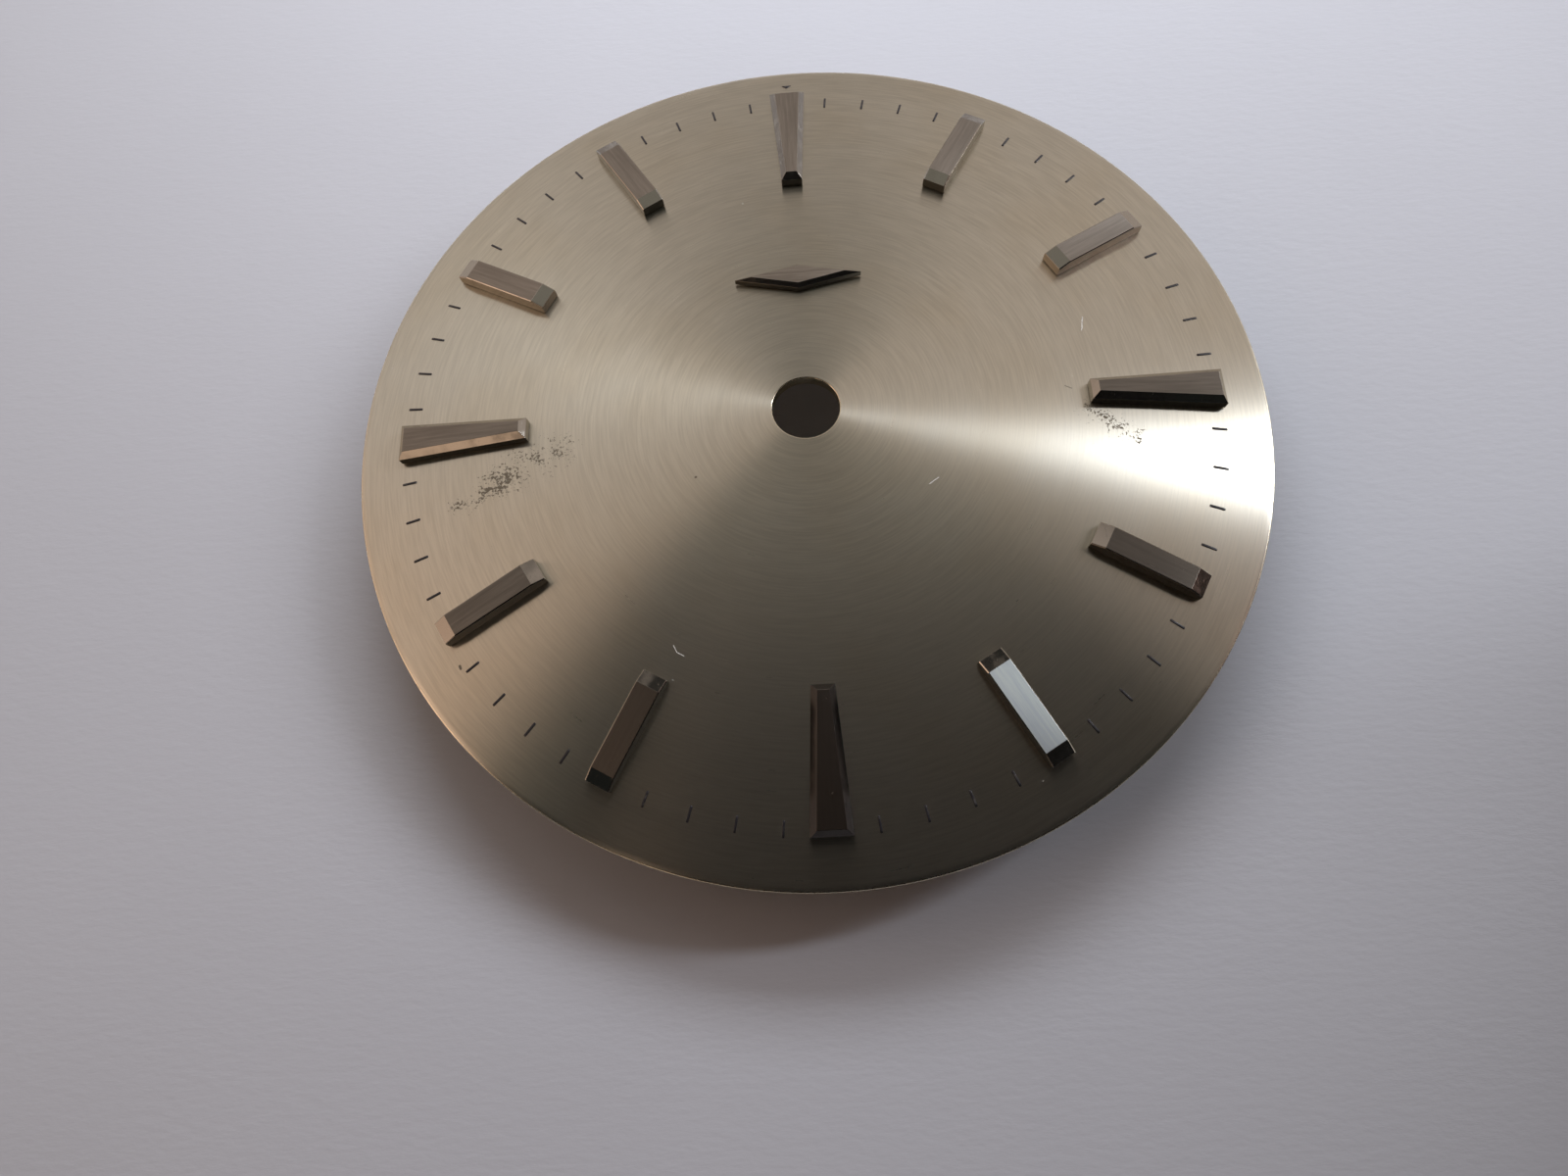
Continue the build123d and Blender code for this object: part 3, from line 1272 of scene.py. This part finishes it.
@dataclass
class Lozenge(Applied):
    """The applied ornament: a lozenge across the dial with a bevel round its flat top."""

    radius: float
    length: float = 4.2
    width: float = 0.96
    height: float = 0.32
    bevel: float = 0.12
    pin_spacing: float = 1.7

    along: ClassVar[list[int]] = [1, 0, 2]

    def outline(self, inset: float, height: float) -> np.ndarray:
        """The lozenge's outline, whose four sides all move in alike.

        Args:
            inset: How far the outline is drawn in on all sides.
            height: The height that it lies at.

        Returns:
            Its four points, anticlockwise from above.
        """
        half, side = self.length / 2, self.width / 2
        share = 1 - inset * hypot(half, side) / (half * side)
        flat = np.array([[side, 0], [0, half], [-side, 0], [0, -half]]) * share
        return np.concatenate([flat, np.full((4, 1), height)], 1)

    def body(self) -> Shell:
        """The lozenge with its bevel."""
        return bevelled(self.outline, self.height, self.bevel)

    def place(self, side: int, lift: float = 0) -> np.ndarray:
        """The place of its middle, or of a pin to the right or left of it."""
        return self.dome.frame_at(0, self.radius, lift, side * self.pin_spacing / 2)

    def build(self, materials: Materials) -> None:
        """Fixes the lozenge above the centre hole."""
        self.fix("lozenge", "applied_lozenge", materials)


@dataclass
class MinuteTrack:
    """The printed strokes between the markers and the pip above 12."""

    dome: Dome
    rim_gap: float = 1.48
    stroke_length: float = 0.50
    stroke_width: float = 0.082
    stroke_middle: float = 0.23
    thickness: float = 0.02
    lift: float = 0.003
    pip_width: float = 0.36
    pip_length: float = 0.14
    pip_rim_gap: float = 0.72
    round_share: float = 0.6
    pip_round_share: float = 0.3
    ring_shares: tuple[float, ...] = (1, 0.9, 0.6)
    height_shares: tuple[float, ...] = (0, 0.75, 1)
    ragged: float = 0.004
    seed: int = 7

    def film(self, corners: np.ndarray, cut: float, chance: np.random.Generator) -> Shell:
        """A thin film over an outline: a steep ragged edge that rolls over into a flat skin.

        Args:
            corners: The outline's corners, as places by two.
            cut: How far its corners are rounded.
            chance: Draws how far each place of the edge falls short.

        Returns:
            The closed film, standing on Z 0.
        """
        outline = rounded_outline(corners, cut, steps=4)
        outline = outline + chance.uniform(-self.ragged, 0, (len(outline), 1)) * np.sign(outline)
        middle = outline.mean(0)
        rings = [
            np.column_stack([
                middle + (outline - middle) * share, np.full(len(outline), rise * self.thickness)
            ])
            for share, rise in zip(self.ring_shares, self.height_shares)
        ]
        return loft(np.stack(rings), np.zeros((2, len(outline)), int), (0, 0))

    def build(self, materials: Materials) -> None:
        """Prints a stroke at each minute that has no marker, and the pip.

        Args:
            materials: The ink.
        """
        chance = np.random.default_rng(self.seed)
        half, side = self.stroke_length / 2, self.stroke_width / 2
        stroke = np.array([[-half, -side], [half, -side], [half, side], [-half, side]])
        radius = self.dome.radius - self.rim_gap - self.stroke_middle
        angles = [m * 360 / MINUTES for m in range(MINUTES) if m % (MINUTES // HOURS)]
        places = [self.dome.frame_at(angle, radius, self.lift) for angle in angles]
        cut = side * self.round_share
        shells = [self.film(stroke, cut, chance).placed(place) for place in places]
        wide = self.pip_width / 2
        pip = np.array([[0, -wide], [0, wide], [-self.pip_length, 0]])
        place = self.dome.frame_at(0, self.dome.radius - self.pip_rim_gap, self.lift)
        shells.append(self.film(pip, side * self.pip_round_share, chance).placed(place))
        write_piece("minute_print", shells, Finish(materials, "ink"), "minute_track")


@dataclass
class Foot:
    """A turned copper foot: a thin flange, a tapered root and a rod with a rounded tip."""

    dome: Dome
    name: str
    rod: float = 0.4
    length: float = 2.2
    root: float = 0.5
    root_length: float = 0.38
    flange: float = 0.75
    flange_thickness: float = 0.1
    flange_break: float = 0.02
    tip_round: float = 0.1
    tip_flat: float = 0.06
    rod_start: float = 0.15
    rod_gap: float = 0.02
    rod_rings: int = 12
    root_rings: int = 4
    steps: int = 64

    def profile(self, floor: float) -> np.ndarray:
        """The foot's outline as (radius, height) points from the tip up to the flange.

        Args:
            floor: Height of the plate's underside at the foot.

        Returns:
            The points: the round of the tip, the rod, the root's taper and the flange.
        """
        tip, neck, brim = floor - self.length, floor - self.root_length, self.flange_break
        rod = np.linspace(tip + self.rod_start, neck - self.rod_gap, self.rod_rings)
        taper = np.linspace((self.rod, neck), (self.root, floor), self.root_rings)
        return np.concatenate([
            [[self.tip_flat, tip]],
            corner((self.rod - self.tip_round, tip + self.tip_round), self.tip_round, -90, 0, 7),
            np.column_stack([np.full(self.rod_rings, self.rod), rod]),
            taper,
            [[self.flange - brim, floor], [self.flange, floor + brim]],
            [[self.flange, floor + self.flange_thickness]],
        ])

    def build(self, materials: Materials) -> None:
        """Turns the foot about the axis of its node.

        Args:
            materials: The copper.
        """
        node = f"dial_{self.name}"
        place = np.eye(4)
        place[:2, 3] = millimetre_middle(node)[:2]
        floor = float(self.dome.height(hypot(*place[:2, 3]), self.dome.thickness))
        shell = turned(self.profile(floor), self.steps).placed(place)
        write_piece(self.name, [shell], Finish(materials, "copper"), node)


@dataclass
class BrazeRing:
    """The hollow fillet of braze between a foot's root and the plate, a little uneven round."""

    dome: Dome
    letter: str
    inner: float = 0.51
    reach: float = 0.99
    height: float = 0.34
    hollow: float = 2.4
    waves: float = 0.05
    top_gap: float = 0.012
    edge: float = 0.006
    steps: int = 72
    rings: int = 12

    def build(self, materials: Materials) -> None:
        """Builds the fillet on a grid of angle and reach.

        Its depth under the plate is height times (1 - s)^hollow, where s runs from 0 at the root to
        1 at the outer edge, which waves in and out by two sines of the angle. The upper sheet lies
        just under the plate.

        Args:
            materials: The braze.
        """
        centre = millimetre_middle(f"dial_foot_{self.letter}")
        angle = np.arange(self.steps) / self.steps * CIRCLE
        waves = 1 - self.waves * (0.5 + 0.3 * np.sin(3 * angle + 1) + 0.2 * np.sin(5 * angle))
        share = np.linspace(0, 1, self.rings)
        down = np.concatenate([share, share[::-1]])[:, None]
        radius = self.inner + down * (self.reach * waves - self.inner)
        x, y = centre[0] + radius * np.cos(angle), centre[1] + radius * np.sin(angle)
        skin = self.dome.height(np.hypot(x, y), self.dome.thickness) - self.top_gap
        depth = self.height * (1 - down) ** self.hollow + self.edge
        visible = (np.arange(2 * self.rings) < self.rings)[:, None]
        points = np.stack([x, y, skin - np.where(visible, depth, 0)], -1)
        faces = grid_faces(2 * self.rings, self.steps, True)
        shell = Shell(points.reshape(-1, 3), [faces[:, ::-1]], [np.zeros(len(faces), int)])
        finish = Finish(materials, "braze")
        write_piece(f"braze_{self.letter}", [shell], finish, f"braze_ring_{self.letter}")


def turn_about_sight(degrees: float) -> Quaternion:
    """A turn about the line that a lamp or a camera looks along."""
    return Quaternion((0, 0, 1), radians(degrees))


class Role(Enum):
    """What a lamp does in the studio."""

    KEY = "key"
    FILL = "fill"
    PAPER = "paper_light"


@dataclass(frozen=True)
class Lamp:
    """A soft lamp that looks at the dial, placed by compass turn, height angle and distance."""

    role: Role
    turn: float
    rise: float
    distance: float
    size: Point
    power: float
    colour: Colour = (1, 1, 1)
    lean: float = 0

    def build(self) -> None:
        """Makes the lamp, which leans about its own line of sight."""
        data = bpy.data.lights.new(self.role.value, "AREA")
        data.shape = "RECTANGLE"
        data.size, data.size_y = (side * MILLIMETRE for side in self.size)
        data.energy = self.power
        data.color = self.colour
        lamp = bpy.data.objects.new(self.role.value, data)
        lamp.visible_glossy = self.role is not Role.PAPER
        turn, rise = radians(self.turn), radians(self.rise)
        toward = Vector((sin(turn) * cos(rise), cos(turn) * cos(rise), sin(rise)))
        lamp.location = toward * self.distance * MILLIMETRE
        lamp.rotation_mode = "QUATERNION"
        lamp.rotation_quaternion = toward.to_track_quat("Z", "Y") @ turn_about_sight(self.lean)
        bpy.context.scene.collection.objects.link(lamp)
        log.info("%s lamp: %.2f W at %.0f degrees", self.role.value, self.power, self.turn)


@dataclass
class PhotoCamera:
    """The camera where the photograph's stood, found from the places of the printed strokes."""

    place: Direction = (0.140, -16.298, 28.925)
    target: Direction = (-1.008, -5.755, -0.572)
    roll: float = -9.46
    lens: float = 23.544
    sensor: float = 36.0
    near: float = 1.0
    far: float = 20000.0

    def forward(self) -> Vector:
        """The direction that the camera looks in."""
        return (Vector(self.target) - Vector(self.place)).normalized()

    def turning(self) -> Quaternion:
        """The camera's turn, with its roll about the line of sight."""
        return self.forward().to_track_quat("-Z", "Y") @ turn_about_sight(self.roll)

    def build(self) -> None:
        """Makes the camera and gives it to the scene."""
        data = bpy.data.cameras.new("camera")
        data.lens, data.sensor_width = self.lens, self.sensor
        data.clip_start, data.clip_end = self.near * MILLIMETRE, self.far * MILLIMETRE
        camera = bpy.data.objects.new("camera", data)
        camera.location = Vector(self.place) * MILLIMETRE
        camera.rotation_mode = "QUATERNION"
        camera.rotation_quaternion = self.turning()
        bpy.context.scene.collection.objects.link(camera)
        bpy.context.scene.camera = camera


@dataclass(frozen=True)
class Part:
    """A part of the room: the ways near its middle, with a soft edge between two cosines."""

    middle: Direction
    edge: Point

    def share(self, way: Socket) -> Socket:
        """How far inside the part a way is, from 0 to 1."""
        return way.dot(self.middle).rise(*self.edge)


@dataclass(frozen=True)
class Room:
    """The plain room that the dial reflects, as colours, and parts that are laid one over another.

    It is open in front, warmer on the left, paler low down and dark behind the camera. A dark round
    thing stands in front, a rosy patch on the right, and a warm glow behind on the left.
    """

    front: Colour = (0.57, 0.495, 0.462)
    left: Colour = (0.77, 0.555, 0.44)
    left_end: Colour = (1.70, 1.20, 0.94)
    dim: Colour = (0.047, 0.056, 0.047)
    upper: Colour = (0.30, 0.289, 0.262)
    low: Colour = (0.88, 0.80, 0.73)
    back: Colour = (0.016, 0.018, 0.018)
    glow: Colour = (0.92, 0.66, 0.50)
    rose: Colour = (0.54, 0.345, 0.31)
    backdrop: Colour = (0.60, 0.585, 0.59)
    left_wall: Part = Part((-1, 0, 0), (0.75, 1))
    left_wall_end: Part = Part((-0.966, -0.259, 0), (0.968, 0.995))
    corner: Part = Part((-0.94, -0.34, 0), (0.93, 0.98))
    corner_top: Part = Part((0, 0, 1), (0.55, 0.75))
    ceiling: Part = Part((0, 0, 1), (0.84, 0.92))
    ceiling_front: Part = Part((0, 1, 0), (0.45, 0.75))
    right_wall: Part = Part((1, 0, 0), (0.5, 0.8))
    right_top: Part = Part((0, 0, 1), (0.78, 0.88))
    front_wall: Part = Part((0, 1, 0), (0.40, 0.55))
    front_foot: Part = Part((0, 0, 1), (0.10, -0.02))
    round_thing: Part = Part((0, 0.643, 0.766), (0.9905, 0.995))
    back_glow: Part = Part((-0.38, -0.81, 0.44), (0.93, 0.98))
    front_half: Part = Part((-0.132, 0.991, 0), (-0.232, -0.20))
    right_patch: Part = Part((0.861, 0.0905, 0.5), (0.955, 0.99))
    steepest: float = 0.01

    def colour(self, graph: Graph) -> Socket:
        """The room's colour in each direction; the camera itself sees a plain pale backdrop.

        Args:
            graph: The world's graph.

        Returns:
            The colour's socket.
        """
        toward = graph.node("TexCoord", output="Generated")
        flat = toward * (1, 1, 0)
        level = flat / flat.length().largest(self.steepest)
        layers = [
            (self.left_wall.share(level), self.left),
            (self.left_wall_end.share(level), self.left_end),
            (self.corner_top.share(toward) * self.corner.share(level), self.dim),
            (self.ceiling.share(toward),
             graph.mix(self.ceiling_front.share(level), self.dim, self.upper)),
            (self.right_top.share(toward) * self.right_wall.share(level), self.dim),
            (self.front_foot.share(toward) * self.front_wall.share(level), self.low),
            (self.round_thing.share(toward), self.back),
            (1 - self.front_half.share(level),
             graph.mix(self.back_glow.share(toward), self.back, self.glow)),
            (self.right_patch.share(toward), self.rose),
            (graph.node("LightPath", output="Is Camera Ray"), self.backdrop),
        ]
        colour = self.front
        for share, laid in layers:
            colour = graph.mix(share, colour, laid)
        return colour


@dataclass
class Studio:
    """Pale paper under the dial, a plain room, soft lamps, and two dark cards."""

    camera: PhotoCamera
    floor_level: float
    floor_radius: float = 900
    floor_steps: int = 96
    room: Room = Room()
    card_low: Point = (-25, -55)
    card_high: Point = (33, 30)
    card_back: float = 6
    flag_foot: tuple[Point, Point] = ((42, 1), (20, -60))
    flag_gap: float = 4
    flag_height: float = 16
    lamps: tuple[Lamp, ...] = (
        Lamp(Role.KEY, 70.5, 31, 250, (20, 108), 0.19, (0.94, 1, 1.12), -28),
        Lamp(Role.FILL, -27, 52, 250, (42, 50), 0.0042, (1, 0.98, 0.95)),
        Lamp(Role.PAPER, 6, 40, 62, (70, 20), 0.032, (0.93, 1, 1.11)),
    )

    def build(self) -> None:
        """Builds the stage and the lights."""
        self.lay_paper()
        self.set_cards()
        self.set_world()
        for lamp in self.lamps:
            lamp.build()

    def stage_mesh(
        self, name: str, points: np.ndarray, finish: bpy.types.Material
    ) -> bpy.types.Object:
        """One flat face of the stage, which isn't part of the dial.

        Args:
            name: Its name.
            points: Its outline in millimetres, as places by three.
            finish: Its material.

        Returns:
            The stage's object.
        """
        mesh = bpy.data.meshes.new(name)
        mesh.from_pydata((points * MILLIMETRE).tolist(), [], [list(range(len(points)))])
        mesh.materials.append(finish)
        thing = bpy.data.objects.new(name, mesh)
        bpy.context.scene.collection.objects.link(thing)
        return thing

    def lay_paper(self) -> None:
        """Lays a wide round sheet at the level of the feet's tips."""
        angle = np.arange(self.floor_steps) / self.floor_steps * CIRCLE
        rim = np.stack([np.cos(angle), np.sin(angle)], -1) * self.floor_radius
        points = np.column_stack([rim, np.full(self.floor_steps, self.floor_level)])
        self.stage_mesh("paper", points, Paper("paper").material())

    def set_cards(self) -> None:
        """Sets a dark card behind the camera and a low one on the right, both seen by no camera."""
        turning = self.camera.turning()
        back = Vector(self.camera.place) - self.camera.forward() * self.card_back
        (left, low), (right, high) = self.card_low, self.card_high
        corners = [(left, low), (right, low), (right, high), (left, high)]
        behind = np.array([back + turning @ Vector((x, y, 0)) for x, y in corners])
        near, far = self.flag_foot
        foot = self.floor_level + self.flag_gap
        upright = [(*near, foot), (*far, foot), (*far, self.flag_height), (*near, self.flag_height)]
        dark = DarkCard("dark_card").material()
        for name, points in (("dark_card", behind), ("flag", np.array(upright))):
            self.stage_mesh(name, points, dark).visible_camera = False

    def set_world(self) -> None:
        """Gives the scene the room as its world."""
        world = bpy.data.worlds.new("studio")
        world.use_nodes = True
        bpy.context.scene.world = world
        graph = Graph(world.node_tree)
        light = graph.node("Background", inputs={"Color": self.room.colour(graph), "Strength": 1})
        graph.node("OutputWorld", inputs={"Surface": light})


def face_wear() -> dict[str, tuple[Streak, ...]]:
    """The corrosion stains, scratches and fibres of the face.

    Returns:
        The streaks of each of the finish's own fields.
    """
    return {
        "stains": (
            Streak((-11.2, -2.3), (-10.0, -1.8), 1.8),
            Streak((-9.6, -1.4), (-8.1, -0.8), 2.8),
            Streak((8.9, -0.6), (10.3, -1.5), 1.5),
        ),
        "scratches": (
            Streak((-4.36, -7.50), (-4.26, -7.72), 0.04),
            Streak((-4.26, -7.72), (-4.05, -7.84), 0.04),
            Streak((9.1, 2.35), (9.2, 2.85), 0.04),
            Streak((3.65, -2.9), (3.95, -2.7), 0.04),
        ),
        "dark_marks": (
            Streak((-3.57, -2.16), (-3.55, -2.15), 0.10),
            Streak((-10.96, -7.60), (-10.93, -7.68), 0.12),
            Streak((8.26, 0.30), (8.46, 0.20), 0.04),
        ),
    }


def dress_plate(dome: Dome) -> None:
    """Builds the plate with its brushed face, cut edges and plainer underside.

    Args:
        dome: The face's shape.
    """
    face = CircularBrushed("brushed_face", **face_wear())
    edge = Polished(
        "cut_edge", colour=(0.72, 0.66, 0.50), shade_colour=(0.56, 0.50, 0.37), roughness=0.22
    )
    under = CircularBrushed(
        "plated_underside", colour=(0.66, 0.57, 0.42), lines_per_mm=7, bands_per_mm=1.4,
        groove_depth=0.003,
    )
    Plate(dome).build((face.material(), edge.material(), under.material()))


def marker_tops() -> dict[int, bpy.types.Material]:
    """The finishes of the markers' tops, four of which are brushed apart from the others; the 5
    o'clock top also carries a painted sheen in its paler colour.

    Returns:
        The finish of each hour's top.
    """
    plain = LengthBrushed("marker_top").material()
    apart = {
        4: LengthBrushed("marker_top_04", across_turn=0.016, roughness=0.25),
        # Painted sheen: the 5 o'clock top is paler and greener than the others, a painted highlight
        # of the light it catches.
        5: LengthBrushed(
            "marker_top_05", colour=(0.58, 0.61, 0.55), shade_colour=(0.40, 0.43, 0.44),
            across_turn=-0.02, roughness=0.38,
        ),
        6: LengthBrushed("marker_top_06", roughness=0.24),
        7: LengthBrushed("marker_top_07", roughness=0.24),
    }
    hours = range(1, HOURS + 1)
    return {hour: apart[hour].material() if hour in apart else plain for hour in hours}


def dress_dial() -> None:
    """Builds every piece of the dial in its own finish."""
    dome = Dome.from_frame()
    dress_plate(dome)
    # Painted dark reflection: the 6 o'clock marker's polished faces get a near-black colour in
    # place of the dark reflection they show.
    tarnish_and_painted_dark = {"colour": (0.08, 0.075, 0.07), "shade_colour": (0.06, 0.055, 0.05)}
    polished = Polished("marker_polish").material()
    polish_painted_dark = Polished("marker_tarnish", **tarnish_and_painted_dark).material()
    for hour, top in marker_tops().items():
        kind = BarMarker if hour % 3 else WedgeMarker
        kind(dome, hour).build((top, polish_painted_dark if hour == PAINTED_DARK_HOUR else polished))
    lozenge_top = LengthBrushed("lozenge_top", colour=(0.45, 0.41, 0.35)).material()
    Lozenge(dome, float(millimetre_middle("applied_lozenge")[1])).build((lozenge_top, polished))
    MinuteTrack(dome).build((PrintedInk("printed_ink").material(),))
    copper = TurnedMetal("turned_copper").material()
    braze = BrazedMetal("silver_braze").material()
    for letter in "ab":
        Foot(dome, f"foot_{letter}").build((copper,))
        BrazeRing(dome, letter).build((braze,))


def main() -> None:
    """Dresses the dial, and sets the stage."""
    logging.basicConfig(level=logging.INFO, format="%(message)s")
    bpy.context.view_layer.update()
    dress_dial()
    camera = PhotoCamera()
    camera.build()
    Studio(camera, float(millimetre_box("dial_foot_a")[0][2])).build()
    bpy.context.scene.view_settings.view_transform = "Standard"


if __name__ == "__main__":
    main()
